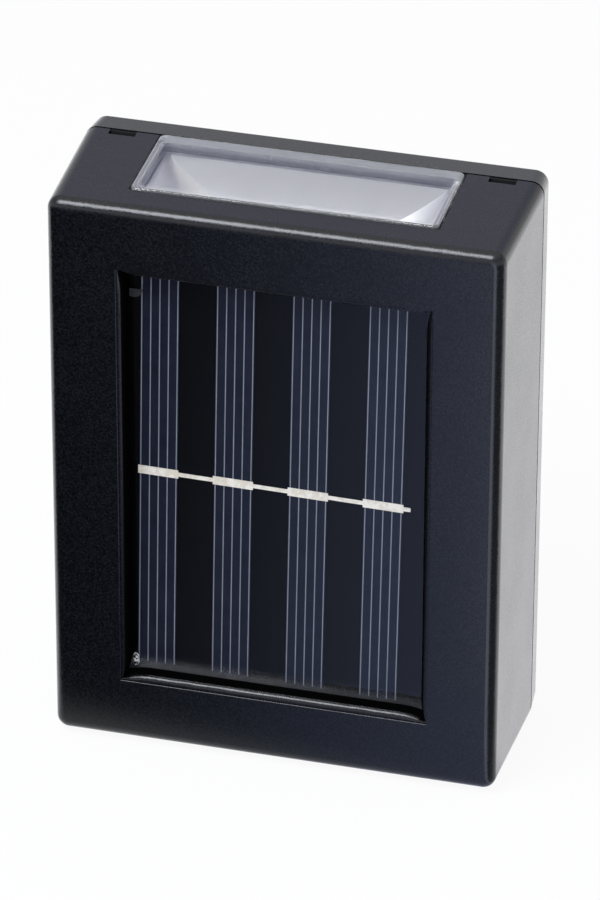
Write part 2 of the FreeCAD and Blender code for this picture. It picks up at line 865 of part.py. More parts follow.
def panel_tape():
    """Adhesive frame between the window skirt and the panel."""
    width = throat_width + 2 * tape_margin
    height = throat_height + 2 * tape_margin
    inner = box(-width / 2, width / 2, y_tape - past, y_panel + past, -height / 2, height / 2)
    width += 2 * tape_width
    height += 2 * tape_width
    return box(-width / 2, width / 2, y_tape, y_panel, -height / 2, height / 2).cut(inner)


def panel_resin():
    slab = panel_layer(panel_width, panel_height, y_panel, y_board)
    return seated(slab.cut(cell_strips() + finger_lines() + [ribbon_strip()]))


def adhesive_bead(wall_x):
    bead = Part.makeSphere(1.0)
    stretch = FreeCAD.Matrix()
    stretch.scale(dab_radius, dab_height, dab_length / 2)
    bead = bead.transformGeometry(stretch)
    bead.translate(Vec(wall_x + dab_offset, y_panel, dab_rise - throat_height / 2))
    return bead.common(box(-body_width, body_width, y_front, y_panel, -body_height, body_height))


def adhesive_smear(wall_x):
    top = throat_height / 2 - smear_drop
    centre = wall_x + smear_radius / 2
    disc = rod(smear_radius, (centre, y_panel - smear_thickness, top), (centre, y_panel, top))
    left = wall_x + smear_inset
    return disc.common(box(left, left + smear_width, y_front, 0, top - smear_length, top))


def adhesive_dabs():
    """A small bead and a thin smear of adhesive on the panel, by the left wall of the window."""
    wall_x = -throat_width / 2
    return Part.makeCompound([adhesive_bead(wall_x), adhesive_smear(wall_x)])


# ---- battery ----

def tray_holes():
    x = tray_cavity_length / 2 + tray_wall + ear_length - ear_height / 2
    return [(-x, battery_z), (x, battery_z)]


def battery_tray():
    half = tray_cavity_length / 2
    reach = battery_radius + battery_gap
    outer = box(-half - tray_wall, half + tray_wall, y_tray, y_floor,
                battery_z - reach - tray_wall, battery_z + reach + tray_wall)
    bed = rod(reach, (-half, y_battery, battery_z), (half, y_battery, battery_z))
    way_in = box(-half, half, y_tray - past, y_battery, battery_z - reach, battery_z + reach)
    ends = half + tray_wall + ear_length
    y1 = y_floor - ear_stand
    ears = box(-ends, ends, y1 - ear_thickness, y1, battery_z - ear_height / 2, battery_z + ear_height / 2)
    body = joined([outer, ears]).cut([bed, way_in])
    radius = small_screw_radius + screw_clearance
    holes = [rod(radius, (x, y_tray, z), (x, y1 + past, z)) for x, z in tray_holes()]
    return body.cut(holes)


def battery_body_start():
    plate = tray_cavity_length / 2 - contact_thickness - 2 * contact_gap
    return plate - battery_nub_length - battery_length


def battery_cell():
    x0 = battery_body_start()
    x1 = x0 + battery_length
    can = rod(battery_radius, (x0, y_battery, battery_z), (x1, y_battery, battery_z))
    ends = [e for e in can.Edges if e.BoundBox.XLength < tiny]
    can = can.makeFillet(battery_edge_radius, ends)
    root = x1 - battery_nub_root
    nub = rod(battery_nub_radius, (root, y_battery, battery_z), (x1 + battery_nub_length, y_battery, battery_z))
    return can.fuse(nub)


def contact_plate(x0, x1):
    half = contact_width / 2
    return box(x0, x1, y_tray - contact_proud, y_battery + half, battery_z - half, battery_z + half)


def plus_contact():
    x1 = tray_cavity_length / 2 - contact_gap
    return contact_plate(x1 - contact_thickness, x1)


def minus_contact():
    """A bent leaf that presses on the flat end of the battery."""
    x0 = -tray_cavity_length / 2 + contact_gap
    plate = contact_plate(x0, x0 + contact_thickness)
    half = contact_width / 4
    tip = battery_body_start() - contact_gap
    t = contact_thickness
    middle = y_battery
    foot = contact_width / 2
    crown = leaf_crown / 2
    outline = [(x0 + t, middle + foot), (tip, middle + crown), (tip, middle - crown), (x0 + t, middle - foot),
               (x0 + t, middle - foot + leaf_wall * t), (tip - t, middle - crown + t / 3),
               (tip - t, middle + crown - t / 3), (x0 + t, middle + foot - leaf_wall * t)]
    face = polygon_face([(x, y, battery_z - half) for x, y in outline])
    return plate.fuse(face.extrude(Vec(0, 0, 2 * half)))


# ---- main board ----

def main_board_holes():
    return [(x, board_centre_z + z) for x, z in four_places(board_hole_x, board_hole_z)]


def main_board():
    half_x = board_width / 2
    half_z = board_height / 2
    board = box(-half_x, half_x, y_main_front, y_main_board, board_centre_z - half_z, board_centre_z + half_z)
    radius = small_screw_radius + screw_clearance
    holes = [rod(radius, (x, y_main_front - past, z), (x, 0, z)) for x, z in main_board_holes()]
    return board.cut(holes)


def driver_chip():
    length, height, width = chip_size
    x, z = chip_at
    top = y_main_front - height
    body = box(x - length / 2, x + length / 2, top, y_main_front, z - width / 2, z + width / 2)
    legs = []
    half = chip_leg_width / 2
    reach = width / 2 + chip_leg_reach
    for index in range(chip_leg_count):
        leg_x = x + (index - (chip_leg_count - 1) / 2) * chip_leg_pitch
        shoulder = y_main_front - height / 2
        legs.append(box(leg_x - half, leg_x + half, shoulder, y_main_front, z - reach, z + reach))
    return joined([body] + legs)


def inductor():
    x, z = inductor_at
    top = y_main_front - inductor_height
    foot = rod(inductor_radius, (x, y_main_front, z), (x, y_main_front - inductor_flange, z))
    core = rod(inductor_core_radius, (x, y_main_front, z), (x, top, z))
    cap = rod(inductor_radius, (x, top + inductor_flange, z), (x, top, z))
    return joined([foot, core, cap])


def capacitor():
    x, z = capacitor_at
    can = rod(capacitor_radius, (x, y_main_front, z), (x, y_main_front - capacitor_height, z))
    return can.makeFillet(capacitor_edge_radius, edges_in_plane(can, y_main_front - capacitor_height))


def inner_screws():
    """Six small screws: four through the main board, two through the battery tray."""
    screws = []
    seats = [(x, y_main_front, z) for x, z in main_board_holes()]
    seats += [(x, y_floor - ear_stand - ear_thickness, z) for x, z in tray_holes()]
    for seat in seats:
        screw = small_screw()
        screw.rotate(Vec(0, 0, 0), Vec(0, 0, 1), 180)
        screw.translate(Vec(*seat))
        screws.append(screw)
    return Part.makeCompound(screws)


# ---- slide switch ----

def stem_slot():
    """Half-length and half-height of a slot that lets the knob's stem travel."""
    half = (knob_stem_length + switch_travel) / 2 + knob_gap
    high = knob_stem_height / 2 + knob_gap
    return half, high


def y_switch_top():
    return -recess_depth - recess_floor - post_gap


def switch_body():
    half = switch_body_length / 2
    high = switch_body_height / 2
    top = y_switch_top()
    body = box(-half, half, y_main_board, top, switch_z - high, switch_z + high)
    slot_half, slot_high = stem_slot()
    slot = box(-slot_half, slot_half, top - switch_slot_depth, top + past,
               switch_z - slot_high, switch_z + slot_high)
    return body.cut(slot)


def switch_knob():
    """Stem and ribbed cap, shown at the left end of its travel, the off position."""
    x = -switch_travel / 2
    half = knob_stem_length / 2
    high = knob_stem_height / 2
    base = y_switch_top() - switch_slot_depth + post_gap
    cap_y0 = -recess_depth + knob_gap
    stem = box(x - half, x + half, base, cap_y0, switch_z - high, switch_z + high)
    cap_half = knob_cap_length / 2
    cap_high = knob_cap_height / 2
    cap = box(x - cap_half, x + cap_half, cap_y0, -knob_sunk, switch_z - cap_high, switch_z + cap_high)
    upright = [e for e in cap.Edges if e.BoundBox.YLength > (-knob_sunk - cap_y0) / 2]
    cap = cap.makeFillet(knob_corner, upright)
    grooves = []
    pitch = knob_cap_length / (knob_grooves + 1)
    for index in range(knob_grooves):
        left = x + (index - (knob_grooves - 1) / 2) * pitch - knob_groove / 2
        grooves.append(box(left, left + knob_groove, -knob_sunk - knob_groove_depth, 0,
                           switch_z - cap_high, switch_z + cap_high))
    return stem.fuse(cap).cut(grooves)


# ---- leads ----

def lead(points):
    """A round lead along straight runs joined by tangent arcs, as wide as the runs allow."""
    knots = [Vec(*p) for p in points]
    edges = []
    start = knots[0]
    for before, corner, after in zip(knots, knots[1:], knots[2:]):
        into = (corner - before).normalize()
        out = (after - corner).normalize()
        turn = into.getAngle(out)
        cut = lead_bend_share * min((corner - before).Length, (after - corner).Length)
        radius = cut / math.tan(turn / 2)
        arc_start = corner - into * cut
        arc_end = corner + out * cut
        bisector = (out - into).normalize()
        middle = corner + bisector * (radius / math.cos(turn / 2) - radius)
        edges.append(Part.LineSegment(start, arc_start).toShape())
        edges.append(Part.Arc(arc_start, middle, arc_end).toShape())
        start = arc_end
    edges.append(Part.LineSegment(start, knots[-1]).toShape())
    path = Part.Wire(edges)
    way = knots[1] - knots[0]
    section = Part.Wire(Part.makeCircle(lead_radius, knots[0], way))
    return path.makePipeShell([section], True, False)


def pair_of_leads(points):
    """Two leads side by side along X."""
    leads = []
    for side in (-0.5, 0.5):
        shift = side * lead_spacing
        leads.append(lead([(x + shift, y, z) for x, y, z in points]))
    return Part.makeCompound(leads)


def panel_leads():
    y_mid = (y_panel_back + y_main_front) / 2
    x = panel_lead_x
    z0 = board_centre_z - panel_lead_fall
    z1 = board_centre_z + panel_lead_rise
    return pair_of_leads([(x, y_panel_back, z0), (x, y_mid, z0), (x, y_mid, z1), (x, y_main_front, z1)])


def top_led_leads():
    y0 = reflector_centre()
    x = led_lead_x
    z0 = z_led_board - led_board_thickness
    z1 = board_centre_z + board_height / 2 - lead_inset
    points = [(x, y0, z0), (x, y0, z0 - lead_drop), (x, -lead_plane, z0 - 2 * lead_drop)]
    points += [(x, -lead_plane, z1), (x, y_main_front, z1)]
    return pair_of_leads(points)


def bottom_led_leads():
    y0 = reflector_centre()
    x = -led_lead_x
    z0 = -z_led_board + led_board_thickness
    z1 = board_centre_z - board_height / 2 + lead_inset
    return pair_of_leads([(x, y0, z0), (x, y0, z1), (x, y_main_front, z1)])


def battery_leads():
    """One lead from each contact, round the front of the tray to the main board."""
    leads = []
    x = tray_cavity_length / 2 - contact_gap - contact_thickness / 2
    y0 = y_tray - contact_proud
    z1 = board_centre_z + board_height / 2 - battery_lead_inset
    for side in (-1, 1):
        points = [(side * x, y0, battery_z), (side * x, -lead_plane, battery_z)]
        points += [(side * x, -lead_plane, z1), (side * x, y_main_front, z1)]
        leads.append(lead(points))
    return Part.makeCompound(leads)


nodes = {
    "front_housing": front_housing(),
    "rear_cover": rear_cover(),
    "cover_seal": cover_seal(),
    "cover_screws": cover_screws(),
    "top_lens": top_lens(),
    "bottom_lens": flipped(top_lens()),
    "top_reflector": top_reflector(),
    "bottom_reflector": flipped(top_reflector()),
    "top_led_board": top_led_board(),
    "bottom_led_board": flipped(top_led_board()),
    "top_leds": top_leds(),
    "bottom_leds": flipped(top_leds()),
    "led_board_screws": led_board_screws(),
    "panel_tape": panel_tape(),
    "panel_board": seated(panel_layer(panel_width, panel_height, y_board, y_panel_back)),
    "solar_cells": seated(Part.makeCompound(cell_strips())),
    "cell_fingers": seated(Part.makeCompound(finger_lines())),
    "cell_ribbon": seated(ribbon_strip()),
    "panel_resin": panel_resin(),
    "adhesive_dabs": adhesive_dabs(),
    "battery_tray": battery_tray(),
    "battery_cell": battery_cell(),
    "plus_contact": plus_contact(),
    "minus_contact": minus_contact(),
    "main_board": main_board(),
    "driver_chip": driver_chip(),
    "inductor": inductor(),
    "capacitor": capacitor(),
    "inner_screws": inner_screws(),
    "switch_body": switch_body(),
    "switch_knob": switch_knob(),
    "panel_leads": panel_leads(),
    "top_led_leads": top_led_leads(),
    "bottom_led_leads": bottom_led_leads(),
    "battery_leads": battery_leads(),
}

os.makedirs("parts", exist_ok=True)
for name, shape in nodes.items():
    shape.exportStep(f"parts/{name}.step")
    state = "valid" if shape.isValid() else "NOT VALID"
    print(name, len(shape.Solids), "solids", round(shape.Volume, 2), "mm3", state)
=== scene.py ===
import math
import bpy
from mathutils import Matrix, Vector


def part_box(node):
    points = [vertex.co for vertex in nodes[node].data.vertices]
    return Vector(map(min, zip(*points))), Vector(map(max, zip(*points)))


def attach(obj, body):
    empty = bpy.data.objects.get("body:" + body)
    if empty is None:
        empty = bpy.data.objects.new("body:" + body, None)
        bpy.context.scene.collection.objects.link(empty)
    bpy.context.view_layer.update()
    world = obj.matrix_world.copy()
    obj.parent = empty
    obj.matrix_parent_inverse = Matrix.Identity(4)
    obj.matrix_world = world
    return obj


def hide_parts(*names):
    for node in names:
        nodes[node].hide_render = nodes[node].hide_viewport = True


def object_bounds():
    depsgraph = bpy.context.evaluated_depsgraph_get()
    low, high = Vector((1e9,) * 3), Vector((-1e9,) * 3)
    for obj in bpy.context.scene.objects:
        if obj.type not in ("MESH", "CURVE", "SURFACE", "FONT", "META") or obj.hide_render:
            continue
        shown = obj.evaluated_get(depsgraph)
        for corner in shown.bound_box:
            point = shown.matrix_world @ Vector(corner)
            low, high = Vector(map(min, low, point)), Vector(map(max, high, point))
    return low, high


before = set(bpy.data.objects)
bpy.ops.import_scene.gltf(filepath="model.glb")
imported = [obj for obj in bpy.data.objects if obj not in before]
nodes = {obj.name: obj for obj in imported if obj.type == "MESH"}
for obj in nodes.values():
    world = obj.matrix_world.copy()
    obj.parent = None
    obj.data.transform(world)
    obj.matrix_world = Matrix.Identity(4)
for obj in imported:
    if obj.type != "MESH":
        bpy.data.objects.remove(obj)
cad_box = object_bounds()
mm = 0.001

# ---- camera ----
view_azimuth = math.radians(14.75)
view_elevation = math.radians(30.47)
view_roll = math.radians(0.206)
camera_place = Vector((0.26848, -1.0349, 0.6201))
lens_length = 252.88       # millimetres, on a sensor 36 mm high

# ---- stage ----
floor_size = 5.0
floor_white = 0.93         # of the floor's white, seen straight; the rest shows the object's shadow
key_direction = Vector((-0.22, -0.51, 0.83))
key_distance = 0.6
key_size = 0.26
key_radiance = 9.0
key_tint = (0.9, 0.94, 1.0)
watts_per_radiance = 4.0   # lamp power for each unit of radiance and square metre
fill_level = 0.65

# ---- places on the object ----
front_plane = cad_box[0][1]
edge_x = cad_box[1][0]
blur = 0.3 * mm            # soft border between two finishes
throat_half = 29.4 * mm    # middle of the window to its upright walls
window_reach = 46.0 * mm   # middle of the window to its upper and lower edge
window_side = 1.6 * mm     # throat's wall to the window's outer edge
window_depth = 4.3 * mm    # front face to the panel
lens_rim = 3.3 * mm        # the lens's flange and its thick skirt
sheen_foot = -44.45 * mm    # lower wall of the throat
sheen_height = 3.4 * mm
panel_width = 62.2 * mm
panel_height = 92.9 * mm
panel_turn = math.radians(0.95)
resin_depth = 0.5 * mm
resin_rounding = 0.12 * mm
battery_lead_x = 20.0 * mm
lead_pairs = (-9.0 * mm, 9.0 * mm, 18.0 * mm)
lead_pair_width = 3.0 * mm

# ---- finishes: grain sizes, shares and steps ----
housing_base = (0.001, 0.0012, 0.0018)
housing_grain = 0.42 * mm
grain_dark = 0.1           # of the base colour, in the grain's pits
grain_light = 5.0          # and on its crests
dust_light = 8.0
grain_depth = 0.02 * mm
# matt near-black painted as shade on the window's inner walls and sills
recess_shade_black = 0.0016
# share of matt white in the lens's thick rim: a painted glow
rim_light_share = 0.13
# whitish matt band on the resin along the panel's foot: painted sheen, fading upward and to the right
sheen_least = 0.045
sheen_more = 0.05
sheen_right_loss = 0.4

# ---- what glossy surfaces mirror: the floor's parts, and the world by height ----
glow_left = (0.03, 0.032, 0.045)
glow_right = (0.5, 0.6, 0.95)
glow_wedge = (1.9, 2.0, 2.3)
glow_far_right = (0.2, 0.21, 0.25)
glow_behind = (1.58, 1.58, 1.62)
world_stops = [(0.0, 1.0), (0.4, (0.78, 0.79, 0.84)), (0.52, (0.38, 0.4, 0.64)), (0.75, 0.75), (1.0, 1.0)]


# ---- node trees written as expressions ----

class Wire:
    """An output socket. Arithmetic on it adds Math nodes to its tree."""

    def __init__(self, tree, socket):
        self.tree = tree
        self.socket = socket

    def math(self, operation, first, second=0.0):
        return self.tree.node("ShaderNodeMath", {"operation": operation}, {0: first, 1: second})

    def __add__(self, other):
        return self.math("ADD", self, other)

    def __radd__(self, other):
        return self.math("ADD", other, self)

    def __sub__(self, other):
        return self.math("SUBTRACT", self, other)

    def __rsub__(self, other):
        return self.math("SUBTRACT", other, self)

    def __mul__(self, other):
        return self.math("MULTIPLY", self, other)

    def __rmul__(self, other):
        return self.math("MULTIPLY", other, self)

    def __truediv__(self, other):
        return self.math("DIVIDE", self, other)

    def __rtruediv__(self, other):
        return self.math("DIVIDE", other, self)

    def __abs__(self):
        return self.math("ABSOLUTE", self)

    def above(self, limit):
        return self.math("GREATER_THAN", self, limit)

    def larger(self, other):
        return self.math("MAXIMUM", self, other)


class Tree:
    """The nodes of one material, or of the world."""

    def __init__(self, owner):
        owner.use_nodes = True
        self.owner = owner
        self.tree = owner.node_tree
        self.tree.nodes.clear()

    def node(self, kind, settings=None, inputs=None, output=0):
        made = self.tree.nodes.new(kind)
        for name, value in (settings or {}).items():
            if name == "stops":
                self.set_stops(made.color_ramp, value)
            else:
                setattr(made, name, value)
        for key, value in (inputs or {}).items():
            if isinstance(value, Wire):
                self.tree.links.new(value.socket, made.inputs[key])
            else:
                made.inputs[key].default_value = value
        return Wire(self, made.outputs[output])

    def set_stops(self, ramp, stops):
        while len(ramp.elements) < len(stops):
            ramp.elements.new(0.5)
        for element, (place, value) in zip(ramp.elements, stops):
            element.position = place
            element.color = colour(value)

    def place(self, scale=(1, 1, 1)):
        """Coordinates in the object's own frame, in metres before the scale."""
        raw = self.node("ShaderNodeTexCoord", output="Object")
        return self.node("ShaderNodeMapping", None, {"Vector": raw, "Scale": scale})

    def along(self, vector, axis):
        return self.node("ShaderNodeSeparateXYZ", None, {0: vector}, axis)

    def noise(self, size, detail=2.0, roughness=0.5, vector=None, warp=0.0):
        """Cloudy values around 0.5, in patches of the given size in metres."""
        inputs = {"Vector": vector or self.place(), "Scale": 1 / size, "Detail": detail}
        inputs["Roughness"] = roughness
        inputs["Distortion"] = warp
        return self.node("ShaderNodeTexNoise", None, inputs)

    def cells(self, size):
        """Distance from the nearest of many scattered points, in sizes."""
        inputs = {"Vector": self.place(), "Scale": 1 / size, "Randomness": 1.0}
        return self.node("ShaderNodeTexVoronoi", {"feature": "F1"}, inputs)

    def between(self, value, low, high):
        """A smooth step of value, from 0 at low to 1 at high."""
        inputs = {0: value, 1: low, 2: high, 3: 0.0, 4: 1.0}
        return self.node("ShaderNodeMapRange", {"interpolation_type": "SMOOTHSTEP"}, inputs)

    def until(self, value, limit):
        """1 up to the limit, and 0 a blur beyond it."""
        return 1 - self.between(value, limit, limit + blur)

    def mixed(self, share, first, second):
        """A colour between two colours."""
        inputs = {0: share, 6: colour(first), 7: colour(second)}
        return self.node("ShaderNodeMix", {"data_type": "RGBA"}, inputs, 2)

    def bump(self, height, depth):
        """A normal raised by the height times the depth, in metres."""
        return self.node("ShaderNodeBump", None, {"Height": height, "Distance": depth, "Strength": 1.0})

    def blend(self, share, first, second):
        """A surface between two surfaces."""
        return self.node("ShaderNodeMixShader", None, {0: share, 1: first, 2: second})

    def matt(self, tint):
        return self.node("ShaderNodeBsdfDiffuse", None, {"Color": colour(tint)})

    def finish(self, surface):
        """Ends the tree in its output, and gives back the material or world."""
        is_world = isinstance(self.owner, bpy.types.World)
        made = self.tree.nodes.new("ShaderNodeOutputWorld" if is_world else "ShaderNodeOutputMaterial")
        self.tree.links.new(surface.socket, made.inputs["Surface"])
        return self.owner

    def coat(self, base, roughness, **others):
        """A Principled surface. Other sockets are named with underscores for spaces."""
        inputs = {"Base Color": colour(base), "Roughness": roughness}
        for name, value in others.items():
            inputs[name.replace("_", " ")] = value
        return self.node("ShaderNodeBsdfPrincipled", None, inputs)


def colour(value):
    """A wire as it is, or a colour with its alpha from a grey or from three numbers."""
    if isinstance(value, Wire):
        return value
    if isinstance(value, (int, float)):
        return (value, value, value, 1.0)
    return tuple(value) + (1.0,) * (4 - len(value))


def new_material(name):
    return Tree(bpy.data.materials.new(name))


# ---- finishes ----

def shade(base, factor):
    return tuple(factor * c for c in base)


def moulded_black(name, base=housing_base, recess=None):
    """Black moulded plastic with a fine spark-eroded grain, faint flow marks and a little dust."""
    tree = new_material(name)
    fine = tree.noise(housing_grain, 3.0, 0.7)
    broad = tree.noise(12 * mm, 2.0, 0.5)
    dust = 1 - tree.between(tree.cells(4.2 * mm), 0.02, 0.05)
    tint = tree.mixed(tree.between(fine, 0.34, 0.66), shade(base, grain_dark), shade(base, grain_light))
    tint = tree.mixed(dust * tree.between(broad, 0.5, 0.62), tint, shade(base, dust_light))
    rough = 0.25 + (fine - 0.5) * 0.2 + (broad - 0.5) * 0.08
    surface = tree.coat(tint, rough, Normal=tree.bump(fine, grain_depth), IOR=1.52)
    # where the mask is 1, a matt near-black replaces the plastic: painted shade inside the window
    if recess:
        surface = tree.blend(recess(tree), surface, tree.matt(recess_shade_black))
    return tree.finish(surface)


def recess_shade_mask(tree):
    """1 on the window's upright walls and on its sill behind the lip, where painted shade goes: a matt
    near-black in place of the glossy plastic.
    """
    spot = tree.place()
    across = abs(tree.along(spot, 0))
    depth = tree.along(spot, 1) - front_plane
    height = abs(tree.along(spot, 2))
    inside = tree.until(across, throat_half + window_side) * tree.until(height, window_reach)
    inside = inside * tree.until(depth, window_depth)
    beside = tree.between(across, throat_half - 0.5 * mm, throat_half - 0.1 * mm)
    beside = beside * tree.between(depth, 0.3 * mm, 0.6 * mm)
    sill = tree.between(height, window_reach - 2.0 * mm, window_reach - 1.7 * mm)
    sill = sill * tree.between(depth, 1.0 * mm, 1.5 * mm)
    return beside.larger(sill) * inside


def clear_lens():
    """Clear moulding whose thick rim has a little matt white mixed in: a painted glow for the light it
    catches.
    """
    tree = new_material("lens_clear")
    normal = tree.bump(tree.noise(9 * mm, 1.0, 0.4), 0.004 * mm)
    clear = tree.coat((0.95, 0.955, 0.96), 0.03, IOR=1.49, Transmission_Weight=1.0, Normal=normal)
    low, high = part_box("top_lens")
    spot = tree.place()
    side = abs(tree.along(spot, 0)) - (high[0] - lens_rim)
    ends = abs(tree.along(spot, 1) - (low[1] + high[1]) / 2) - ((high[1] - low[1]) / 2 - lens_rim)
    rim = tree.between(side.larger(ends), -0.2 * mm, 0.2 * mm)
    return tree.finish(tree.blend(rim * rim_light_share, clear, tree.matt((0.86, 0.87, 0.89))))


def reflector_silver():
    """Metal film on a moulded tray, satin, with the mould's faint waviness."""
    tree = new_material("reflector_silver")
    fine = tree.noise(0.3 * mm, 2.0, 0.6)
    broad = tree.noise(4 * mm, 2.0, 0.5)
    tint = tree.mixed(broad, (0.87, 0.855, 0.825), (0.95, 0.935, 0.905))
    rough = 0.34 + (fine - 0.5) * 0.1
    normal = tree.bump(fine * 0.3 + broad, 0.04 * mm)
    return tree.finish(tree.coat(tint, rough, Metallic=0.85, Normal=normal))


def clear_resin():
    """Glossy clear resin: what lies under it shows, with a painted sheen along the panel's foot: a
    whitish matt band, mottled by noise, for light caught where the resin meets the lower wall.
    """
    tree = new_material("resin_clear")
    normal = tree.bump(tree.noise(20 * mm, 2.0, 0.5), 0.04 * mm)
    mirror = {"Color": colour(1.0), "Roughness": 0.06, "Normal": normal}
    gloss = tree.node("ShaderNodeBsdfGlossy", None, mirror)
    clear = tree.node("ShaderNodeBsdfTransparent", None, {"Color": colour((0.975, 0.98, 0.985))})
    edge = tree.node("ShaderNodeFresnel", None, {"IOR": 1.5, "Normal": normal})
    front = 1 - tree.node("ShaderNodeNewGeometry", output="Backfacing")
    glossy = tree.blend(edge * front, clear, gloss)
    spot = tree.place()
    # painted sheen: strongest at the throat's lower wall, fading upward and weaker to the right; the
    # noise only mottles it
    fade = 1 - tree.between(tree.along(spot, 2), sheen_foot, sheen_foot + sheen_height)
    toward_right = tree.between(tree.along(spot, 0), -10 * mm, 25 * mm)
    dust = tree.noise(2.5 * mm, 1.0, 0.5)
    share = fade * fade * (sheen_least + dust * sheen_more) * (1 - toward_right * sheen_right_loss)
    return tree.finish(tree.blend(share, glossy, tree.matt((0.7, 0.72, 0.78))))


def cell_blue():
    """Silicon: dark blue with faint large crystals. Under resin it mirrors little."""
    tree = new_material("cell_blue")
    tint = tree.mixed(tree.cells(4 * mm), (0.008, 0.0105, 0.022), (0.013, 0.016, 0.031))
    rough = 0.4 + (tree.noise(0.2 * mm, 2.0, 0.5) - 0.5) * 0.2
    return tree.finish(tree.coat(tint, rough, IOR=1.15))


def printed_silver():
    """Fine printed conductor, uneven at its edges."""
    tree = new_material("finger_silver")
    fine = tree.noise(0.25 * mm, 3.0, 0.6)
    tint = tree.mixed(fine, (0.17, 0.19, 0.23), (0.32, 0.34, 0.4))
    return tree.finish(tree.coat(tint, 0.5, Metallic=0.1, Normal=tree.bump(fine, 0.01 * mm)))


def tinned_ribbon():
    """Tinned ribbon, dull, with solder unevenly wetted along it."""
    tree = new_material("ribbon_tin")
    patches = tree.noise(1.2 * mm, 3.0, 0.6)
    fine = tree.noise(0.2 * mm, 2.0, 0.5)
    tint = tree.mixed(tree.between(patches, 0.4, 0.6), (0.84, 0.77, 0.66), (0.98, 0.93, 0.85))
    rough = 0.4 + (patches - 0.5) * 0.3
    normal = tree.bump(patches + fine * 0.3, 0.04 * mm)
    return tree.finish(tree.coat(tint, rough, Metallic=0.1, Normal=normal))


def plain_grained(name, dark, light, roughness, size=0.6 * mm, depth=0.01 * mm, **others):
    """A plain material whose shade and gloss vary a little over its grain."""
    tree = new_material(name)
    fine = tree.noise(size, 3.0, 0.6)
    broad = tree.noise(size * 20, 2.0, 0.5)
    tint = tree.mixed((fine + broad) * 0.5, dark, light)
    rough = roughness + (fine - 0.5) * 0.15
    return tree.finish(tree.coat(tint, rough, Normal=tree.bump(fine, depth), **others))


def brushed(name, dark, light, roughness, axis=0):
    """Drawn or turned metal, with fine lines along one axis."""
    tree = new_material(name)
    scale = [1.0, 1.0, 1.0]
    scale[axis] = 0.05
    lines = tree.noise(0.2 * mm, 3.0, 0.6, tree.place(tuple(scale)))
    tint = tree.mixed(lines, dark, light)
    rough = roughness + (lines - 0.5) * 0.2
    return tree.finish(tree.coat(tint, rough, Metallic=1.0, Normal=tree.bump(lines, 0.006 * mm)))


def leads_insulation():
    """Red and black leads: the black one lies on the left of each pair."""
    tree = new_material("lead_insulation")
    fine = tree.noise(0.3 * mm, 2.0, 0.5)
    across = tree.along(tree.place(), 0)
    black = 1 - across.above(-battery_lead_x)
    for centre in lead_pairs:
        black = black + across.above(centre - lead_pair_width) * (1 - across.above(centre))
    red = tree.mixed(fine, (0.36, 0.012, 0.012), (0.45, 0.02, 0.02))
    dark = tree.mixed(fine, 0.008, 0.014)
    return tree.finish(tree.coat(tree.mixed(black, red, dark), 0.42))


def adhesive():
    """Cured adhesive: a wet-looking, folded bead low down whose near-white patches are painted glints,
    and a dull smear high up.
    """
    tree = new_material("adhesive_clear")
    folds = tree.noise(0.9 * mm, 2.0, 0.6, warp=1.5)
    high_up = tree.along(tree.place(), 2).above(0.0)
    # near-white patches on the bead: painted glints
    bead = tree.mixed(tree.between(folds, 0.48, 0.6), 0.012, (0.85, 0.87, 0.9))
    smear = tree.mixed(folds, (0.006, 0.0065, 0.008), (0.02, 0.021, 0.025))
    tint = tree.mixed(high_up, bead, smear)
    return tree.finish(tree.coat(tint, 0.1 + high_up * 0.5, Normal=tree.bump(folds, 0.35 * mm)))


def dress(material, *names):
    """Gives the named CAD nodes one material."""
    for name in names:
        slots = nodes[name].data.materials
        slots.clear()
        slots.append(material)


def dress_nodes():
    housing = moulded_black("housing_black", recess=recess_shade_mask)
    dress(housing, "front_housing", "rear_cover")
    dress(clear_lens(), "top_lens", "bottom_lens")
    dress(reflector_silver(), "top_reflector", "bottom_reflector")
    dress(cell_blue(), "solar_cells")
    dress(printed_silver(), "cell_fingers")
    dress(tinned_ribbon(), "cell_ribbon")
    dress(plain_grained("panel_board_black", 0.0015, 0.003, 0.55, IOR=1.08), "panel_board")
    dress(plain_grained("tape_grey", 0.02, 0.03, 0.9, 0.4 * mm, 0.04 * mm), "panel_tape")
    dress(plain_grained("seal_rubber", 0.004, 0.007, 0.75), "cover_seal")
    dress(brushed("screw_steel", 0.42, 0.62, 0.3), "cover_screws", "inner_screws", "led_board_screws")
    dress(plain_grained("led_board_white", 0.7, 0.8, 0.35), "top_led_board", "bottom_led_board")
    phosphor = plain_grained("led_phosphor", (0.8, 0.66, 0.2), (0.85, 0.75, 0.35), 0.4)
    dress(phosphor, "top_leds", "bottom_leds")
    dress(plain_grained("main_board_green", (0.01, 0.09, 0.035), (0.02, 0.14, 0.06), 0.3), "main_board")
    dress(plain_grained("chip_black", 0.008, 0.014, 0.6), "driver_chip")
    dress(plain_grained("ferrite_grey", 0.03, 0.06, 0.65), "inductor")
    dress(brushed("capacitor_sleeve", 0.5, 0.7, 0.25, 1), "capacitor")
    dress(brushed("switch_metal", 0.5, 0.7, 0.3), "switch_body")
    dress(moulded_black("knob_black", (0.012, 0.012, 0.014)), "switch_knob")
    dress(moulded_black("tray_black", (0.01, 0.01, 0.012)), "battery_tray")
    jacket = plain_grained("battery_jacket", (0.02, 0.2, 0.1), (0.03, 0.26, 0.14), 0.25, 2 * mm)
    dress(jacket, "battery_cell")
    dress(brushed("contact_nickel", 0.55, 0.75, 0.25, 2), "plus_contact", "minus_contact")
    dress(leads_insulation(), "panel_leads", "top_led_leads", "bottom_led_leads", "battery_leads")
    dress(adhesive(), "adhesive_dabs")


# ---- clear resin over the cells ----

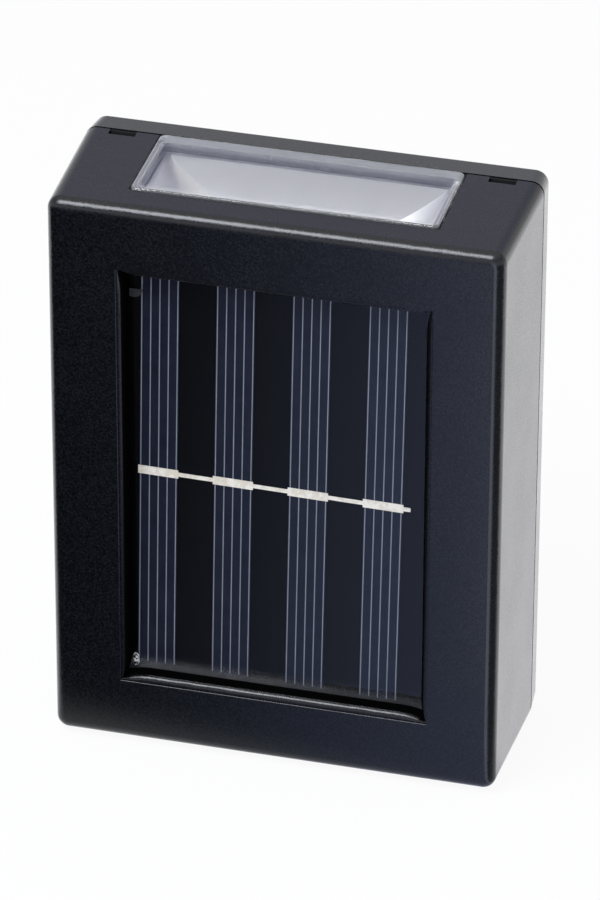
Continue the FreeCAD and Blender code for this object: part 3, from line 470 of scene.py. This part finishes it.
def add_resin():
    """The resin's clear front layer, which ends just above the ribbon."""
    low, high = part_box("panel_resin")
    bpy.ops.object.select_all(action="DESELECT")
    centre = ((low[0] + high[0]) / 2, low[1] + resin_depth / 2, (low[2] + high[2]) / 2)
    bpy.ops.mesh.primitive_cube_add(size=1.0, location=centre)
    piece = bpy.context.object
    piece.name = "resin_layer"
    piece.scale = (panel_width, resin_depth, panel_height)
    piece.rotation_euler = (0, panel_turn, 0)
    bpy.ops.object.transform_apply(location=True, rotation=True, scale=True)
    bevel = piece.modifiers.new("rounding", "BEVEL")
    bevel.width = resin_rounding
    bevel.segments = 3
    bpy.ops.object.modifier_apply(modifier=bevel.name)
    piece.data.materials.append(clear_resin())
    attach(piece, "light")
    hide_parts("panel_resin")


# ---- stage, lights and camera ----

def light_paths(tree):
    """1 for what the camera sees straight, and 1 for what a glossy surface mirrors."""
    seen = tree.node("ShaderNodeLightPath", output="Is Camera Ray")
    mirrored = Wire(tree, seen.socket.node.outputs["Is Glossy Ray"])
    return seen, mirrored


def floor_glow(tree):
    """What a glossy surface mirrors of the floor.

    It is dim at the left, bright in a wedge at the front right, and bright behind.
    """
    spot = tree.place()
    across = tree.along(spot, 0)
    back = tree.along(spot, 1)
    # slope of the way from the front right edge to the spot, seen from above
    slope = (across - edge_x) / (front_plane - back).larger(mm)
    rising = tree.between(across - (back + 0.1) * 0.2, -0.06, 0.05)
    wedge = tree.between(slope, -0.22, -0.02) * (1 - tree.between(slope, 0.1, 0.34))
    far_right = tree.between(slope, 0.2, 0.5)
    behind = tree.between(back - across * 0.1, front_plane - 12 * mm, front_plane + 12 * mm)
    glow = tree.mixed(rising, glow_left, glow_right)
    glow = tree.mixed(wedge * rising, glow, glow_wedge)
    glow = tree.mixed(far_right, glow, glow_far_right)
    return tree.mixed(behind, glow, glow_behind)


def add_floor():
    """A wide white floor at the object's foot, plain to the camera and card-lit in mirrors."""
    bpy.ops.object.select_all(action="DESELECT")
    bpy.ops.mesh.primitive_plane_add(size=floor_size, location=(0, 0, cad_box[0][2]))
    floor = bpy.context.object
    floor.name = "floor"
    tree = new_material("floor_paper")
    seen, mirrored = light_paths(tree)
    white = tree.node("ShaderNodeEmission", None, {"Color": colour(1.0), "Strength": 1.0})
    card = tree.node("ShaderNodeEmission", None, {"Color": floor_glow(tree), "Strength": 1.0})
    plain = tree.blend(seen * floor_white, tree.matt(0.85), white)
    floor.data.materials.append(tree.finish(tree.blend(mirrored, plain, card)))


def light_world():
    """White for the camera, an even fill for light, and a soft ramp by height for mirroring."""
    world = bpy.data.worlds.new("studio")
    bpy.context.scene.world = world
    tree = Tree(world)
    seen, mirrored = light_paths(tree)
    height = tree.along(tree.node("ShaderNodeTexCoord", output="Generated"), 2)
    glow = tree.node("ShaderNodeValToRGB", {"stops": world_stops}, {0: height})
    fill = tree.node("ShaderNodeBackground", None, {"Color": colour(1.0), "Strength": fill_level})
    white = tree.node("ShaderNodeBackground", None, {"Color": colour(1.0), "Strength": 1.0})
    shown = tree.node("ShaderNodeBackground", None, {"Color": glow, "Strength": 1.0})
    tree.finish(tree.blend(mirrored, tree.blend(seen, fill, white), shown))


def add_softbox():
    """A square lamp in front and above, which faces the object's middle."""
    data = bpy.data.lights.new("key_softbox", "AREA")
    data.shape = "SQUARE"
    data.size = key_size
    data.energy = key_radiance * watts_per_radiance * key_size * key_size
    data.color = key_tint
    lamp = bpy.data.objects.new("key_softbox", data)
    lamp.location = key_direction.normalized() * key_distance
    lamp.rotation_euler = key_direction.to_track_quat("Z", "Y").to_euler()
    bpy.context.scene.collection.objects.link(lamp)


def add_camera():
    """The camera, aimed by its azimuth, elevation and roll."""
    forward = Vector((-math.sin(view_azimuth) * math.cos(view_elevation),
                      math.cos(view_azimuth) * math.cos(view_elevation),
                      -math.sin(view_elevation)))
    level = forward.cross(Vector((0, 0, 1))).normalized()
    upright = level.cross(forward)
    right = math.cos(view_roll) * level + math.sin(view_roll) * upright
    up = math.cos(view_roll) * upright - math.sin(view_roll) * level
    data = bpy.data.cameras.new("camera")
    data.sensor_width = 36.0
    data.lens = lens_length
    data.clip_start = 0.05
    camera = bpy.data.objects.new("camera", data)
    turned = Matrix((right, up, -forward)).transposed()
    camera.matrix_world = Matrix.Translation(camera_place) @ turned.to_4x4()
    bpy.context.scene.collection.objects.link(camera)
    bpy.context.scene.camera = camera


dress_nodes()
add_resin()
add_floor()
light_world()
add_softbox()
add_camera()
bpy.context.scene.view_settings.view_transform = "Standard"
